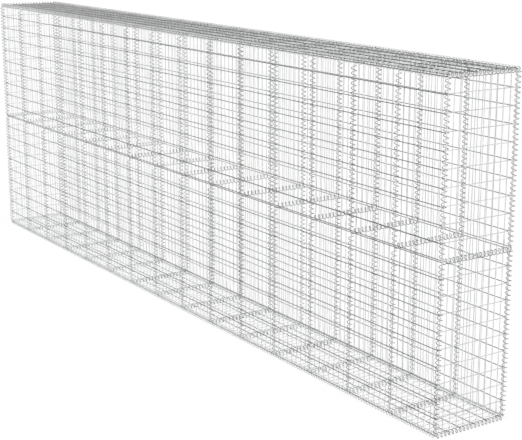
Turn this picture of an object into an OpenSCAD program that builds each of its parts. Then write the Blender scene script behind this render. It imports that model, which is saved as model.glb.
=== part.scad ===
// Free-standing gabion wall: an empty basket of welded wire mesh, two tiers high.
// Millimetres. X runs along the wall, Y through it, Z up; the floor is at Z = 0.

/* [Wall] */
// Length of one bay, between two lines of spirals
bay_length = 400; // [300:50:600]
// Depth of the wall, between the front and back mesh
wall_depth = 500; // [300:100:1000]
// Height of one tier of mesh
tier_height = 1000; // [500:100:1500]

/* [Mesh] */
// Thickness of the mesh wire
wire = 4; // [3:0.5:5]
// Spacing of the rails, the wires that run level along a panel
rail_pitch = 100; // [50:25:200]
// Spacing of the uprights, the wires that cross the rails
upright_pitch = 50; // [25:5:100]
// How far two welded wires sink into each other
weld_sink = 0.2; // [0.1:0.1:1]
// How much higher the end rails sit than the face rails
end_lift = 5.6; // [4:0.1:8]

/* [Spirals] */
// Outer diameter of a spiral
spiral_diameter = 29; // [27:1:40]
// Thickness of the spiral wire
spiral_wire = 4; // [3:0.5:4]
// Rise of one turn of a corner spiral
spiral_pitch = 28.57; // [26:0.01:32]

/* [Fit] */
// Gap between pieces that rest on each other
seat_gap = 0.3; // [0.1:0.05:0.5]

/* [Hidden] */

// Panels stand in rows of five bays, three rows to the wall
rows = 3;
row_length = 5;
bays = rows * row_length;
wall_length = bays * bay_length;

// Height of the base edge, the seam between the tiers and the cover edge
base_z = spiral_diameter / 2;
seam_z = base_z + tier_height;
cover_z = seam_z + tier_height;

// Centres of the lowest and highest rail of each tier, clear of the base, the seam and the cover
base_seat = wire + 2 * seat_gap + wire / 2;
seam_seat = seat_gap / 2 + wire / 2;
lower_span = [base_z + base_seat, seam_z - seam_seat];
upper_span = [seam_z + seam_seat, cover_z - base_seat];

// End sheets reach from the front uprights to the back ones
end_half = wall_depth / 2 - wire - 2 * seat_gap - wire / 2;

// A spiral: centre-line radius, slope, and how far a strand stays from the rail that it rests on
spiral_radius = (spiral_diameter - spiral_wire) / 2;
spiral_slope = atan(spiral_pitch / (2 * PI * spiral_radius));
strand_clear = wire / 2 + spiral_wire / 2 / cos(spiral_slope) + wire / 2 * tan(spiral_slope) + seat_gap;
// Rails lie half a wire off the spiral's axis, which moves the place where a strand meets them
rail_angle = asin(wire / 2 / spiral_radius);
// The back spirals turn a little later, to pass the end rails
strand_lift = 1;
// Two turns of an end spiral to each upright keep every strand clear of the mesh
end_pitch = upright_pitch / 2;
// An end spiral stops short of the corner spirals
end_reach = wall_depth / 2 - spiral_diameter / 2 - spiral_wire;
// Every second half turn is thinner by this much, so that each joint has one clean edge
joint_step = 0.1;

steel = [0.72, 0.74, 0.76];
spiral_steel = [0.62, 0.64, 0.67];

// Even places between two ends, both ends left out
function inner_places(from, to, pitch) =
    let (count = round((to - from) / pitch))
    [for (i = [1 : 1 : count - 1]) from + i * (to - from) / count];

// Places of the rails of a tier that starts at a height: true pitch inside, seated edges
function tier_rails(bottom, span, lift) = concat(
    [span[0]],
    [for (z = inner_places(bottom, bottom + tier_height, rail_pitch)) z + lift],
    [span[1]]
);

function bay_x(i) = -wall_length / 2 + i * bay_length;

// Edge posts of a bay's panel: on the end panel's line, or beside the next panel's edge post
function panel_posts(i) = [
    bay_x(i) + (i == 0 ? 0 : seam_seat),
    bay_x(i + 1) - (i == bays - 1 ? 0 : seam_seat)
];
// The bays of one row of panels
function row_bays(row) = [for (i = [(row - 1) * row_length : row * row_length - 1]) i];

// Welded lattice on the XZ plane: rails along X in front, posts along Z behind, sunk into them
module lattice(posts, rails) {
    first = posts[0] - wire / 2;
    last = posts[len(posts) - 1] + wire / 2;
    bottom = rails[0] - wire / 2;
    top = rails[len(rails) - 1] + wire / 2;
    color(steel)
    union() {
        for (z = rails)
            translate([first, -wire, z - wire / 2])
                cube([last - first, wire, wire]);
        for (x = posts)
            translate([x - wire / 2, -weld_sink, bottom])
                cube([wire, wire, top - bottom]);
    }
}

// Round wires behind a lattice, between its edge posts
module fill_wires(places, span) {
    color(steel)
    for (x = places)
        translate([x, wire / 2 + seat_gap, span[0] - wire / 2])
            cylinder(d = wire, h = span[1] - span[0] + wire, $fn = 24);
}

// Places of the round wires along the wall, inside each bay
function fill_places() = [
    for (i = [0 : bays - 1])
        each inner_places(bay_x(i), bay_x(i + 1), upright_pitch)
];

// A row of panels on the XZ plane
module panel_row(row, rails) {
    for (i = row_bays(row))
        lattice(panel_posts(i), rails);
}

module front_row(row, bottom, span) {
    translate([0, -wall_depth / 2, 0])
        panel_row(row, tier_rails(bottom, span, 0));
}

module back_row(row, bottom, span) {
    mirror([0, 1, 0]) front_row(row, bottom, span);
}

// Floor or lid panels: lengthwise rails below, cross wires above
module flat_row(row) {
    rails = concat(
        [-wall_depth / 2],
        inner_places(-wall_depth / 2, wall_depth / 2, rail_pitch),
        [wall_depth / 2]
    );
    rotate([90, 0, 0]) panel_row(row, rails);
}

module base_row(row) {
    translate([0, 0, base_z]) flat_row(row);
}

module cover_row(row) {
    translate([0, 0, cover_z]) mirror([0, 0, 1]) flat_row(row);
}

// Both tiers of the mesh across the end of the wall, rails outside
module end_panel_right() {
    posts = [-end_half, end_half];
    translate([wall_length / 2, 0, 0]) rotate(90) {
        lattice(posts, tier_rails(base_z, lower_span, end_lift));
        lattice(posts, tier_rails(seam_z, upper_span, end_lift));
    }
}

module end_panel_left() {
    mirror([1, 0, 0]) end_panel_right();
}

module front_upright_wires() {
    translate([0, -wall_depth / 2, 0]) {
        fill_wires(fill_places(), lower_span);
        fill_wires(fill_places(), upper_span);
    }
}

module back_upright_wires() {
    mirror([0, 1, 0]) front_upright_wires();
}

module end_fill() {
    places = inner_places(-wall_depth / 2, wall_depth / 2, upright_pitch);
    translate([wall_length / 2, 0, 0]) rotate(90) {
        fill_wires(places, lower_span);
        fill_wires(places, upper_span);
    }
}

module end_upright_wires() {
    end_fill();
    mirror([1, 0, 0]) end_fill();
}

module base_cross_wires() {
    translate([0, 0, base_z]) rotate([90, 0, 0])
        fill_wires(fill_places(), [-wall_depth / 2, wall_depth / 2]);
}

module cover_cross_wires() {
    translate([0, 0, cover_z]) mirror([0, 0, 1]) rotate([90, 0, 0])
        fill_wires(fill_places(), [-wall_depth / 2, wall_depth / 2]);
}

// Half a turn of a spiral, as a tilted half ring that rises half a pitch
module half_turn(pitch, thickness) {
    ring = norm([spiral_radius, pitch / 4]);
    translate([0, 0, pitch / 4])
        rotate([0, asin(pitch / 4 / ring), 0])
            rotate_extrude(angle = 180, $fn = 48)
                translate([ring, 0]) circle(d = thickness, $fn = 24);
}

// A left-hand spiral that starts on +X and climbs in whole turns
module spiral(pitch, turns) {
    color(spiral_steel)
    mirror([0, 1, 0])
    union()
        for (i = [0 : turns - 1])
            translate([0, 0, i * pitch]) {
                half_turn(pitch, spiral_wire);
                translate([0, 0, pitch / 2])
                    rotate(180) half_turn(pitch, spiral_wire - joint_step);
            }
}

// The spirals of both tiers on one corner, which rest on the rail that they meet at an angle
module corner_spirals(angle, clear) {
    start = clear + spiral_pitch * (1 - angle / 360);
    turns = floor((tier_height - start - seam_seat) / spiral_pitch);
    for (bottom = [base_z, seam_z])
        translate([wall_length / 2, 0, bottom + start]) spiral(spiral_pitch, turns);
}

module corner_spirals_front_right() {
    translate([0, -wall_depth / 2, 0]) corner_spirals(180 - rail_angle, strand_clear);
}

module corner_spirals_back_right() {
    translate([0, wall_depth / 2, 0]) corner_spirals(180 + rail_angle, strand_clear + strand_lift);
}

module corner_spirals_back_left() {
    rotate(180) corner_spirals_front_right();
}

module corner_spirals_front_left() {
    rotate(180) corner_spirals_back_right();
}

// First place past the corner where a strand, turned by an angle, rests beside the mesh wires
function end_start(angle) =
    let (phase = strand_clear - end_pitch * angle / 360)
    phase - end_pitch * floor((end_reach + phase) / end_pitch);

// The spiral along one edge of the right end panel
module end_spiral(z, angle) {
    start = end_start(angle);
    turns = floor((end_reach - start) / end_pitch);
    translate([wall_length / 2, -start, z])
        rotate([90, 0, 0]) rotate(-90) spiral(end_pitch, turns);
}

module end_spirals_right() {
    end_spiral(base_z, 90 - 2 * rail_angle);
    end_spiral(cover_z, rail_angle);
}

module end_spirals_left() {
    rotate(180) end_spirals_right();
}

front_row(1, base_z, lower_span);  // front_panel_lower_1
front_row(2, base_z, lower_span);  // front_panel_lower_2
front_row(3, base_z, lower_span);  // front_panel_lower_3
front_row(1, seam_z, upper_span);  // front_panel_upper_1
front_row(2, seam_z, upper_span);  // front_panel_upper_2
front_row(3, seam_z, upper_span);  // front_panel_upper_3
back_row(1, base_z, lower_span);  // back_panel_lower_1
back_row(2, base_z, lower_span);  // back_panel_lower_2
back_row(3, base_z, lower_span);  // back_panel_lower_3
back_row(1, seam_z, upper_span);  // back_panel_upper_1
back_row(2, seam_z, upper_span);  // back_panel_upper_2
back_row(3, seam_z, upper_span);  // back_panel_upper_3
base_row(1);  // base_panel_1
base_row(2);  // base_panel_2
base_row(3);  // base_panel_3
cover_row(1);  // cover_panel_1
cover_row(2);  // cover_panel_2
cover_row(3);  // cover_panel_3
end_panel_left();
end_panel_right();
front_upright_wires();
back_upright_wires();
end_upright_wires();
base_cross_wires();
cover_cross_wires();
corner_spirals_front_left();
corner_spirals_front_right();
corner_spirals_back_left();
corner_spirals_back_right();
end_spirals_left();
end_spirals_right();
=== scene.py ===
import bpy
import math
import numpy as np
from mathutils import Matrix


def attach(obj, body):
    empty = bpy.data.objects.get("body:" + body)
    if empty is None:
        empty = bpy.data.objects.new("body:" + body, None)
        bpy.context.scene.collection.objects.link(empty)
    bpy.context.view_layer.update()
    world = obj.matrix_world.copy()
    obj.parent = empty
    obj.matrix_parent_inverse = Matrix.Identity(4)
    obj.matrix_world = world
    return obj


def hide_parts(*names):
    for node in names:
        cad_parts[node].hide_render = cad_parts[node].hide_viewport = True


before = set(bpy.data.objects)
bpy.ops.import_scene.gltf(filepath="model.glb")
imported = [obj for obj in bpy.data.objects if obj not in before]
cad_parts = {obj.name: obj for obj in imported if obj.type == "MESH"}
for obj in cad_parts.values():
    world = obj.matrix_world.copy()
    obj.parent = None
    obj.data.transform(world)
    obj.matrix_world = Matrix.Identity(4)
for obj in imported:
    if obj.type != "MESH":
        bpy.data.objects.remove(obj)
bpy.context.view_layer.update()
print("frame loaded,", len(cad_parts), "nodes")

# sizes in metres, as in the construction, but the wires are drawn a tenth thicker
wall = {
    "bays": 15,
    "bay": 0.4,
    "depth": 0.5,
    "tier": 1.0,
    "wire": 0.004,
    "drawnWire": 0.0044,
    "wireSides": 12,
    "gap": 0.0003,
    "railPitch": 0.1,
    "uprightPitch": 0.05,
    "endLift": 0.0056,
    "coil": 0.029,
}
half = wall["wire"] / 2
drawnHalf = wall["drawnWire"] / 2
baseZ = wall["coil"] / 2
seamZ = baseZ + wall["tier"]
coverZ = seamZ + wall["tier"]
frontY = -wall["depth"] / 2
backY = wall["depth"] / 2
bayLines = (np.arange(wall["bays"] + 1) - wall["bays"] / 2) * wall["bay"]
bayIndex = np.arange(wall["bays"])
xAxis, yAxis, zAxis = np.eye(3)
rng = np.random.default_rng(7)


# vectors divided by their length
def unit(v):
    return v / np.linalg.norm(v, axis=-1, keepdims=True)


# one point per row from three coordinates, each a list or one number for all
def xyz(x, y, z):
    return np.stack(np.broadcast_arrays(x, y, z), axis=1)


# all pairs of two lists of numbers, as two flat arrays
def pairs(a, b):
    first, second = np.meshgrid(a, b, indexing="ij")
    return first.ravel(), second.ravel()


# ring point = path + radius * (cos(a) * across + sin(a) * (along x across)), rings joined by quads, flat end caps
def tubes(paths, across, radius, sides, toneAndShadeRange):
    count, steps = paths.shape[:2]
    along = unit(np.gradient(paths, axis=1))
    third = np.cross(along, across)
    a = np.arange(sides) * 2 * math.pi / sides
    rings = (paths[:, :, None, :]
             + radius * (np.cos(a)[:, None] * across[:, :, None, :] + np.sin(a)[:, None] * third[:, :, None, :]))
    index = np.arange(count * steps * sides).reshape(count, steps, sides)
    turned = np.roll(index, -1, axis=2)
    quads = np.stack([index[:, :-1], turned[:, :-1], turned[:, 1:], index[:, 1:]], axis=-1).reshape(-1, 4)
    caps = np.concatenate([index[:, 0, ::-1], index[:, -1]])
    # each tube gets one grey at random from its range, a range that carries painted shade or painted light
    toneAndShade = np.repeat(rng.uniform(*toneAndShadeRange, count), steps * sides)
    return {"points": rings.reshape(-1, 3), "faces": [quads, caps], "toneAndShade": toneAndShade}


# straight wires from start to end, as tubes of two rings turned to X on uprights and to Z on level wires
def straightWires(starts, ends, toneAndShadeRange):
    paths = np.stack([starts, ends], axis=1)
    along = unit(ends - starts)
    isUpright = np.abs(along[:, 2:3]) > 0.9
    across = unit(np.cross(along, np.where(isUpright, xAxis, zAxis)))
    return tubes(paths, np.repeat(across[:, None, :], 2, axis=1), drawnHalf, wall["wireSides"], toneAndShadeRange)


# reach of a weld's flash, its height, the spread of sizes, and how far the crossing wire sinks in
weld = {"reach": 0.0026, "height": 0.0021, "spread": 0.18, "sink": 0.0002}
weldFaces = np.array([[0, 1, 4], [1, 2, 4], [2, 3, 4], [3, 0, 4], [1, 0, 5], [2, 1, 5], [3, 2, 5], [0, 3, 5]])


# weld flash at a crossing: two low pyramids base to base, corners on the diagonals between the wires
def welds(centres, u, v, n):
    size = 1 + weld["spread"] * (rng.random((len(centres), 1, 1)) - 0.5)
    corners = weld["reach"] * np.array([u + v, v - u, -u - v, u - v])
    shape = np.concatenate([corners, [weld["height"] * n, -weld["height"] * n]])
    points = centres[:, None, :] + size * shape
    faces = (np.arange(len(centres))[:, None, None] * len(shape) + weldFaces).reshape(-1, 3)
    toneAndShade = np.repeat(rng.random(len(centres)), len(shape))
    return {"points": points.reshape(-1, 3), "faces": [faces], "toneAndShade": toneAndShade}


sharpAngle = math.radians(80)


# several part meshes joined into one object that rides on the root body
def makePiece(name, parts, material, nodes):
    points = np.concatenate([p["points"] for p in parts])
    offsets = np.cumsum([0] + [len(p["points"]) for p in parts[:-1]])
    faces = [f + o for p, o in zip(parts, offsets) for f in p["faces"]]
    corners = np.concatenate([f.ravel() for f in faces])
    sizes = np.concatenate([np.full(len(f), f.shape[1]) for f in faces])
    mesh = bpy.data.meshes.new(name)
    mesh.vertices.add(len(points))
    mesh.vertices.foreach_set("co", points.astype(np.float32).ravel())
    mesh.loops.add(len(corners))
    mesh.loops.foreach_set("vertex_index", corners.astype(np.int32))
    mesh.polygons.add(len(sizes))
    mesh.polygons.foreach_set("loop_start", (np.cumsum(sizes) - sizes).astype(np.int32))
    mesh.polygons.foreach_set("use_smooth", np.ones(len(sizes), bool))
    mesh.update(calc_edges=True)
    mesh.set_sharp_from_angle(angle=sharpAngle)
    toneAndShade = mesh.attributes.new("toneAndShade", "FLOAT", "POINT")
    toneAndShade.data.foreach_set("value", np.concatenate([p["toneAndShade"] for p in parts]).astype(np.float32))
    mesh.materials.append(material)
    piece = bpy.data.objects.new(name, mesh)
    bpy.context.scene.collection.objects.link(piece)
    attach(piece, "root")
    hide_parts(*nodes)
    print(name, int((sizes - 2).sum()), "triangles")


# hot-dip zinc: ranges of grey for the kinds of wire, dull to bright, and the surface; the ranges hold painted
# shade and light as the light falls along the wall, dark on the long rails, the cover's cross wires and the
# upright and cross spirals, middle on the end rails, light on the uprights, the end posts and edge rails, the
# base's cross wires and the edge spirals, with a random grey for each wire within its range
zinc = {
    "rails": (0.1, 0.45),
    "endRails": (0.5, 0.75),
    "uprights": (0.8, 1.0),
    "spirals": (0.0, 0.5),
    "edgeSpirals": (0.9, 1.0),
    "dull": 0.2,
    "meshBright": 0.74,
    "spiralBright": 0.64,
    "tint": 0.01,
    "ramp": (0.2, 0.8),
    "toneAndShadeShare": 0.45,
    "blotchShare": 0.3,
    "grainShare": 0.25,
    "blotchScale": 22.0,
    "blotchDetail": 4.0,
    "grainScale": 420.0,
    "grainDetail": 3.0,
    "rough": (0.45, 0.67),
    "bump": 0.06,
    "bumpDepth": 0.0004,
    "specular": 0.05,
}


# noise in the wall's own coordinates
def addNoise(nodes, links, coords, scale, detail):
    noise = nodes.new("ShaderNodeTexNoise")
    noise.inputs["Scale"].default_value = scale
    noise.inputs["Detail"].default_value = detail
    links.new(coords.outputs["Object"], noise.inputs["Vector"])
    return noise


# colour = ramp of the shares of each wire's grey with its painted shade, blotches and grain added up, with the
# grain in roughness and bump too
def makeZinc(name, dull, bright):
    material = bpy.data.materials.new(name)
    material.use_nodes = True
    nodes, links = material.node_tree.nodes, material.node_tree.links
    shader = nodes["Principled BSDF"]
    coords = nodes.new("ShaderNodeTexCoord")
    blotch = addNoise(nodes, links, coords, zinc["blotchScale"], zinc["blotchDetail"])
    grain = addNoise(nodes, links, coords, zinc["grainScale"], zinc["grainDetail"])
    toneAndShade = nodes.new("ShaderNodeAttribute")
    toneAndShade.attribute_name = "toneAndShade"
    total = None
    for source, share in ((toneAndShade, zinc["toneAndShadeShare"]), (blotch, zinc["blotchShare"]), (grain, zinc["grainShare"])):
        add = nodes.new("ShaderNodeMath")
        add.operation = "MULTIPLY_ADD"
        add.inputs[1].default_value = share
        add.inputs[2].default_value = 0.0
        links.new(source.outputs["Fac"], add.inputs[0])
        if total:
            links.new(total, add.inputs[2])
        total = add.outputs["Value"]
    ramp = nodes.new("ShaderNodeValToRGB")
    for element, position, grey in zip(ramp.color_ramp.elements, zinc["ramp"], (dull, bright)):
        element.position = position
        element.color = (grey * (1 - zinc["tint"]), grey, grey * (1 + zinc["tint"]), 1)
    spread = nodes.new("ShaderNodeMapRange")
    spread.inputs["To Min"].default_value, spread.inputs["To Max"].default_value = zinc["rough"]
    bump = nodes.new("ShaderNodeBump")
    bump.inputs["Strength"].default_value = zinc["bump"]
    bump.inputs["Distance"].default_value = zinc["bumpDepth"]
    links.new(total, ramp.inputs["Fac"])
    links.new(grain.outputs["Fac"], spread.inputs["Value"])
    links.new(grain.outputs["Fac"], bump.inputs["Height"])
    links.new(ramp.outputs["Color"], shader.inputs["Base Color"])
    links.new(spread.outputs["Result"], shader.inputs["Roughness"])
    links.new(bump.outputs["Normal"], shader.inputs["Normal"])
    shader.inputs["Metallic"].default_value = 0.0
    shader.inputs["Specular IOR Level"].default_value = zinc["specular"]
    return material


meshZinc = makeZinc("meshZinc", zinc["dull"], zinc["meshBright"])
spiralZinc = makeZinc("spiralZinc", zinc["dull"], zinc["spiralBright"])

# how far the outermost wire of a panel stays from an edge of the wall, and from the next panel in line
edgeSeat = wall["wire"] + 2 * wall["gap"] + half
nextSeat = wall["gap"] / 2 + half

# each tier: its nominal edge, its lowest and highest place for a rail, and how far the lowest rail is set up
tiers = [
    {"bottom": baseZ, "low": baseZ + edgeSeat, "high": seamZ - nextSeat, "stub": -0.0003},
    {"bottom": seamZ, "low": seamZ + nextSeat, "high": coverZ - edgeSeat, "stub": 0.0088},
]

# outward bend of the lowest face rail, inward shift of the edge rails of base and cover, and lift of the cover
edges = {"flare": 0.0063, "flatInset": 0.005, "coverLift": 0.003}


# rails of a tier at true pitch, lifted on the ends of the wall, and the two edge rails
def tierRails(tier, lift):
    inner = tier["bottom"] + np.arange(1, round(wall["tier"] / wall["railPitch"])) * wall["railPitch"] + lift
    return np.concatenate([[tier["low"] + tier["stub"]], inner, [tier["high"]]])


# each bay has panels of its own: an edge post on both sides, and the other uprights at even pitch between
inset = np.full(wall["bays"] - 1, nextSeat)
postStarts = bayLines[:-1] + np.concatenate([[0], inset])
postEnds = bayLines[1:] - np.concatenate([inset, [0]])
between = np.arange(1, round(wall["bay"] / wall["uprightPitch"])) * wall["uprightPitch"]
uprights = np.sort(np.concatenate([(bayLines[:-1, None] + between).ravel(), postStarts, postEnds]))
railStarts, railEnds = postStarts - half, postEnds + half


# one face of the wall: rails outside, uprights welded to their inner side, the lowest cell flared outwards
def faceMesh(y, out):
    parts = []
    for tier in tiers:
        rails = tierRails(tier, 0)
        flare = np.zeros(len(rails))
        flare[0] = out * edges["flare"]
        z, bay = pairs(rails, bayIndex)
        railY = y + out * half + np.repeat(flare, wall["bays"])
        # the long rails take the dark range: painted shade
        parts.append(straightWires(xyz(railStarts[bay], railY, z), xyz(railEnds[bay], railY, z), zinc["rails"]))
        bends = np.array([[flare[0], tier["low"] - half], [0, rails[1]], [0, tier["high"] + half]])
        bends[:, 0] += y - out * (half - weld["sink"])
        paths = np.stack([xyz(uprights, bendY, bendZ) for bendY, bendZ in bends], axis=1)
        across = np.broadcast_to(xAxis, paths.shape)
        # the uprights take the light range: painted light
        parts.append(tubes(paths, across, drawnHalf, wall["wireSides"], zinc["uprights"]))
        x, z = pairs(uprights, rails)
        parts.append(welds(xyz(x, y + np.tile(flare, len(uprights)), z), xAxis, zAxis, yAxis))
    return parts


sections = (1, 2, 3)
faceNodes = [part + "_%d" % s for part in ("panel_lower", "panel_upper") for s in sections] + ["upright_wires"]
makePiece("frontMesh", faceMesh(frontY, -1), meshZinc, ["front_" + n for n in faceNodes])
makePiece("backMesh", faceMesh(backY, 1), meshZinc, ["back_" + n for n in faceNodes])


# mesh across one end of the wall: rails outside, uprights welded to their inner side
def endSheet(x, out):
    reach = backY - edgeSeat
    inner = np.arange(1, round(wall["depth"] / wall["uprightPitch"])) * wall["uprightPitch"] + frontY
    posts = np.concatenate([[-reach], inner, [reach]])
    railX, postX = x + out * half, x - out * (half - weld["sink"])
    parts = []
    for tier in tiers:
        rails = tierRails(tier, wall["endLift"])
        # the inner end rails take a middle range, painted shade; the edge rails and the posts take the light
        # upright range, painted light
        for z, toneAndShadeRange in ((rails[1:-1], zinc["endRails"]), (rails[[0, -1]], zinc["uprights"])):
            parts.append(straightWires(xyz(railX, -reach - half, z), xyz(railX, reach + half, z), toneAndShadeRange))
        low, high = tier["low"] - half, tier["high"] + half
        parts.append(straightWires(xyz(postX, posts, low), xyz(postX, posts, high), zinc["uprights"]))
        y, z = pairs(posts, rails)
        parts.append(welds(xyz(x, y, z), yAxis, zAxis, xAxis))
    return parts


makePiece("endMesh", endSheet(bayLines[0], -1) + endSheet(bayLines[-1], 1), meshZinc,
          ["end_panel_left", "end_panel_right", "end_upright_wires"])


# base or cover mesh: rails along the wall on the outside, cross wires welded inside
def flatMesh(z, out, crossToneAndShadeRange):
    rails = np.arange(frontY, backY + half, wall["railPitch"])
    rails[[0, -1]] += [edges["flatInset"], -edges["flatInset"]]
    railZ, crossZ = z + out * half, z - out * (half - weld["sink"])
    y, bay = pairs(rails, bayIndex)
    # rails along the wall take the dark range: painted shade
    parts = [straightWires(xyz(railStarts[bay], y, railZ), xyz(railEnds[bay], y, railZ), zinc["rails"])]
    first, last = rails[0] - half, rails[-1] + half
    # cross wires take the range passed in: the light one on the base, painted light, the dark one on the cover,
    # painted shade
    parts.append(straightWires(xyz(uprights, first, crossZ), xyz(uprights, last, crossZ), crossToneAndShadeRange))
    x, y = pairs(uprights, rails)
    parts.append(welds(xyz(x, y, z), xAxis, yAxis, zAxis))
    return parts


# base cross wires in the light upright range, painted light; cover cross wires in the dark rail range, painted
# shade
makePiece("baseMesh", flatMesh(baseZ, -1, zinc["uprights"]), meshZinc,
          ["base_panel_%d" % s for s in sections] + ["base_cross_wires"])
makePiece("coverMesh", flatMesh(coverZ + edges["coverLift"], 1, zinc["rails"]), meshZinc,
          ["cover_panel_%d" % s for s in sections] + ["cover_cross_wires"])

# lacing spirals: centre-line radius, wire radius to the corners of its five sides, steps to a turn, turns,
# and where the first strand of an upright spiral rests: height over the tier's edge and angle in degrees
lacing = {
    "radius": 0.0147,
    "wire": 0.00214,
    "sides": 5,
    "steps": 12,
    "floorLift": 0.0024,
    "tierTurns": 34,
    "tierPitch": 0.4 / 14,
    "bayTurns": 15,
    "depthTurns": 18,
    "frontSeat": (0.0053, 170.8),
    "backSeat": (0.0078, 189.2),
}
leftHand, rightHand = -1, 1
baseSpiralZ = baseZ + lacing["floorLift"]


# helix: start + pitch * t * axis + radius * (cos(2 pi t) * u + hand * sin(2 pi t) * v), for each start point
def spirals(starts, axis, u, v, turns, pitch, hand, toneAndShadeRange):
    t = np.arange(turns * lacing["steps"] + 1) / lacing["steps"]
    radial = np.cos(2 * math.pi * t)[:, None] * u + hand * np.sin(2 * math.pi * t)[:, None] * v
    path = t[:, None] * pitch * axis + lacing["radius"] * radial
    paths = starts[:, None, :] + path
    across = np.broadcast_to(radial, paths.shape)
    return tubes(paths, across, lacing["wire"], lacing["sides"], toneAndShadeRange)


# start of the upright spirals over the tier's edge: height + pitch * (1 - angle / 360), for every bay line
def startHeights(height, angle):
    return np.full(len(bayLines), height + lacing["tierPitch"] * (1 - angle / 360))


# upright spirals of both tiers on every bay line of one face
def uprightSpirals(y, heights):
    edge, x = pairs(np.array([baseZ, seamZ]), bayLines)
    # upright spirals take the dark spiral range: painted shade
    return spirals(xyz(x, y, edge + np.tile(heights, 2)), zAxis, xAxis, yAxis,
                   lacing["tierTurns"], lacing["tierPitch"], leftHand, zinc["spirals"])


# those between the front corners start half a turn lower
frontHeights = startHeights(*lacing["frontSeat"])
frontHeights[1:-1] -= lacing["tierPitch"] / 2
backHeights = startHeights(*lacing["backSeat"])
makePiece("frontSpirals", [uprightSpirals(frontY, frontHeights)], spiralZinc,
          ["corner_spirals_front_left", "corner_spirals_front_right"])
makePiece("backSpirals", [uprightSpirals(backY, backHeights)], spiralZinc,
          ["corner_spirals_back_left", "corner_spirals_back_right"])


# spirals along the wall on the base and cover edge of each bay
def lengthSpirals(y):
    x, z = pairs(bayLines[:-1], np.array([baseSpiralZ, coverZ]))
    # edge spirals along the wall take the light range: painted light
    return spirals(xyz(x, y, z), xAxis, yAxis, zAxis,
                   lacing["bayTurns"], wall["bay"] / lacing["bayTurns"], leftHand, zinc["edgeSpirals"])


makePiece("frontEdgeSpirals", [lengthSpirals(frontY)], spiralZinc, [])
makePiece("backEdgeSpirals", [lengthSpirals(backY)], spiralZinc, [])


# spirals across the wall at every bay line and one level
def crossSpirals(z, hand):
    # cross spirals take the dark spiral range: painted shade
    return spirals(xyz(bayLines, frontY, z), yAxis, zAxis, xAxis,
                   lacing["depthTurns"], wall["depth"] / lacing["depthTurns"], hand, zinc["spirals"])


# on the base, as ties at the seam, and on the cover
crossParts = [crossSpirals(baseSpiralZ, rightHand), crossSpirals(seamZ, leftHand), crossSpirals(coverZ, leftHand)]
makePiece("crossSpirals", crossParts, spiralZinc, ["end_spirals_left", "end_spirals_right"])


# 1 on rays from the camera, reflections and glass, 0 on rays that carry light
def seenByEye(nodes, links):
    path = nodes.new("ShaderNodeLightPath")
    either = nodes.new("ShaderNodeMath")
    either.operation = "MAXIMUM"
    anyRay = nodes.new("ShaderNodeMath")
    anyRay.operation = "MAXIMUM"
    links.new(path.outputs["Is Camera Ray"], either.inputs[0])
    links.new(path.outputs["Is Glossy Ray"], either.inputs[1])
    links.new(either.outputs["Value"], anyRay.inputs[0])
    links.new(path.outputs["Is Transmission Ray"], anyRay.inputs[1])
    return anyRay.outputs["Value"]


# matt shader of one grey
def greyPaint(nodes, grey):
    paint = nodes.new("ShaderNodeBsdfDiffuse")
    paint.inputs["Color"].default_value = (grey, grey, grey, 1)
    return paint


# plain floor: to the eye a mix of lit paint and white glow that keeps the wall's faint shadow, else dull
ground = {"reach": 150.0, "paint": 0.9, "glow": 1.0, "glowShare": 0.9, "dull": 0.1}
corners = np.array([[-1, -1, 0], [1, -1, 0], [1, 1, 0], [-1, 1, 0]]) * ground["reach"]
floorMesh = bpy.data.meshes.new("floor")
floorMesh.from_pydata(corners.tolist(), [], [(0, 1, 2, 3)])
floor = bpy.data.objects.new("floor", floorMesh)
bpy.context.scene.collection.objects.link(floor)
pale = bpy.data.materials.new("paleFloor")
pale.use_nodes = True
nodes, links = pale.node_tree.nodes, pale.node_tree.links
nodes.remove(nodes["Principled BSDF"])
lit = greyPaint(nodes, ground["paint"])
white = nodes.new("ShaderNodeEmission")
white.inputs["Strength"].default_value = ground["glow"]
shown = nodes.new("ShaderNodeMixShader")
shown.inputs["Fac"].default_value = ground["glowShare"]
dull = greyPaint(nodes, ground["dull"])
mix = nodes.new("ShaderNodeMixShader")
links.new(lit.outputs["BSDF"], shown.inputs[1])
links.new(white.outputs["Emission"], shown.inputs[2])
links.new(seenByEye(nodes, links), mix.inputs["Fac"])
links.new(dull.outputs["BSDF"], mix.inputs[1])
links.new(shown.outputs["Shader"], mix.inputs[2])
links.new(mix.outputs["Shader"], nodes["Material Output"].inputs["Surface"])
floorMesh.materials.append(pale)

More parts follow.
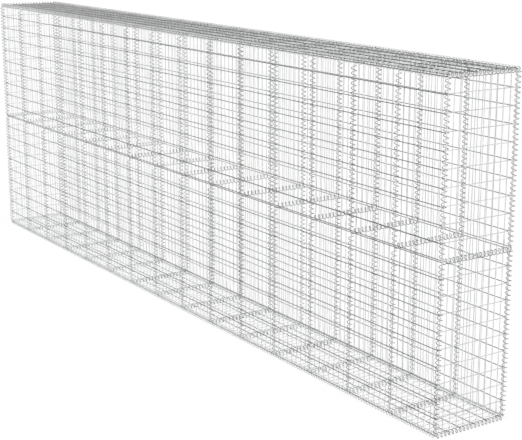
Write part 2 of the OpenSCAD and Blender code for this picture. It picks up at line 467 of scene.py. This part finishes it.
# white surroundings for the camera and for reflections, nearly dark as a light
skyLevel = {"eye": 1.0, "light": 0.03}
world = bpy.data.worlds.new("studio")
bpy.context.scene.world = world
world.use_nodes = True
nodes, links = world.node_tree.nodes, world.node_tree.links
nodes.clear()
level = nodes.new("ShaderNodeMapRange")
level.inputs["To Min"].default_value = skyLevel["light"]
level.inputs["To Max"].default_value = skyLevel["eye"]
links.new(seenByEye(nodes, links), level.inputs["Value"])
sky = nodes.new("ShaderNodeBackground")
sky.inputs["Color"].default_value = (1, 1, 1, 1)
links.new(level.outputs["Result"], sky.inputs["Strength"])
surround = nodes.new("ShaderNodeOutputWorld")
links.new(sky.outputs["Background"], surround.inputs["Surface"])

# soft lights along the wall from both ends, past the wires in their way, and one from above for the floor alone
lamps = [
    {"name": "keyLight", "level": 4.2, "tilt": 87, "turn": 90, "spread": 15},
    {"name": "fillLight", "level": 2.5, "tilt": 87, "turn": -90, "spread": 15},
    {"name": "floorLight", "level": 3.2, "tilt": 15, "turn": 60, "spread": 40},
]
floorOnly = bpy.data.collections.new("floorOnly")
floorOnly.objects.link(floor)
for lamp in lamps:
    sun = bpy.data.lights.new(lamp["name"], "SUN")
    sun.energy = lamp["level"]
    sun.angle = math.radians(lamp["spread"])
    sunObject = bpy.data.objects.new(lamp["name"], sun)
    sunObject.rotation_euler = (math.radians(lamp["tilt"]), 0, math.radians(lamp["turn"]))
    bpy.context.scene.collection.objects.link(sunObject)
    if lamp["name"] == "floorLight":
        sunObject.light_linking.receiver_collection = floorOnly
    else:
        sun.use_shadow = False

# camera at the photograph's place, fitted to the mesh lines; focal length as a share of the picture's width
view = {
    "place": (7.9523, -4.6584, 2.8299 + baseZ),
    "yaw": 0.9898,
    "pitch": 0.2388,
    "focal": 1272.58 / 522,
    "sensor": 36.0,
    "farthest": 500.0,
}
cameraData = bpy.data.cameras.new("camera")
cameraData.sensor_width = view["sensor"]
cameraData.lens = view["sensor"] * view["focal"]
cameraData.clip_end = view["farthest"]
camera = bpy.data.objects.new("camera", cameraData)
camera.location = view["place"]
camera.rotation_euler = (math.pi / 2 - view["pitch"], 0, view["yaw"])
bpy.context.scene.collection.objects.link(camera)
bpy.context.scene.camera = camera
bpy.context.scene.view_settings.view_transform = "Standard"
print("camera, floor and lights ready")
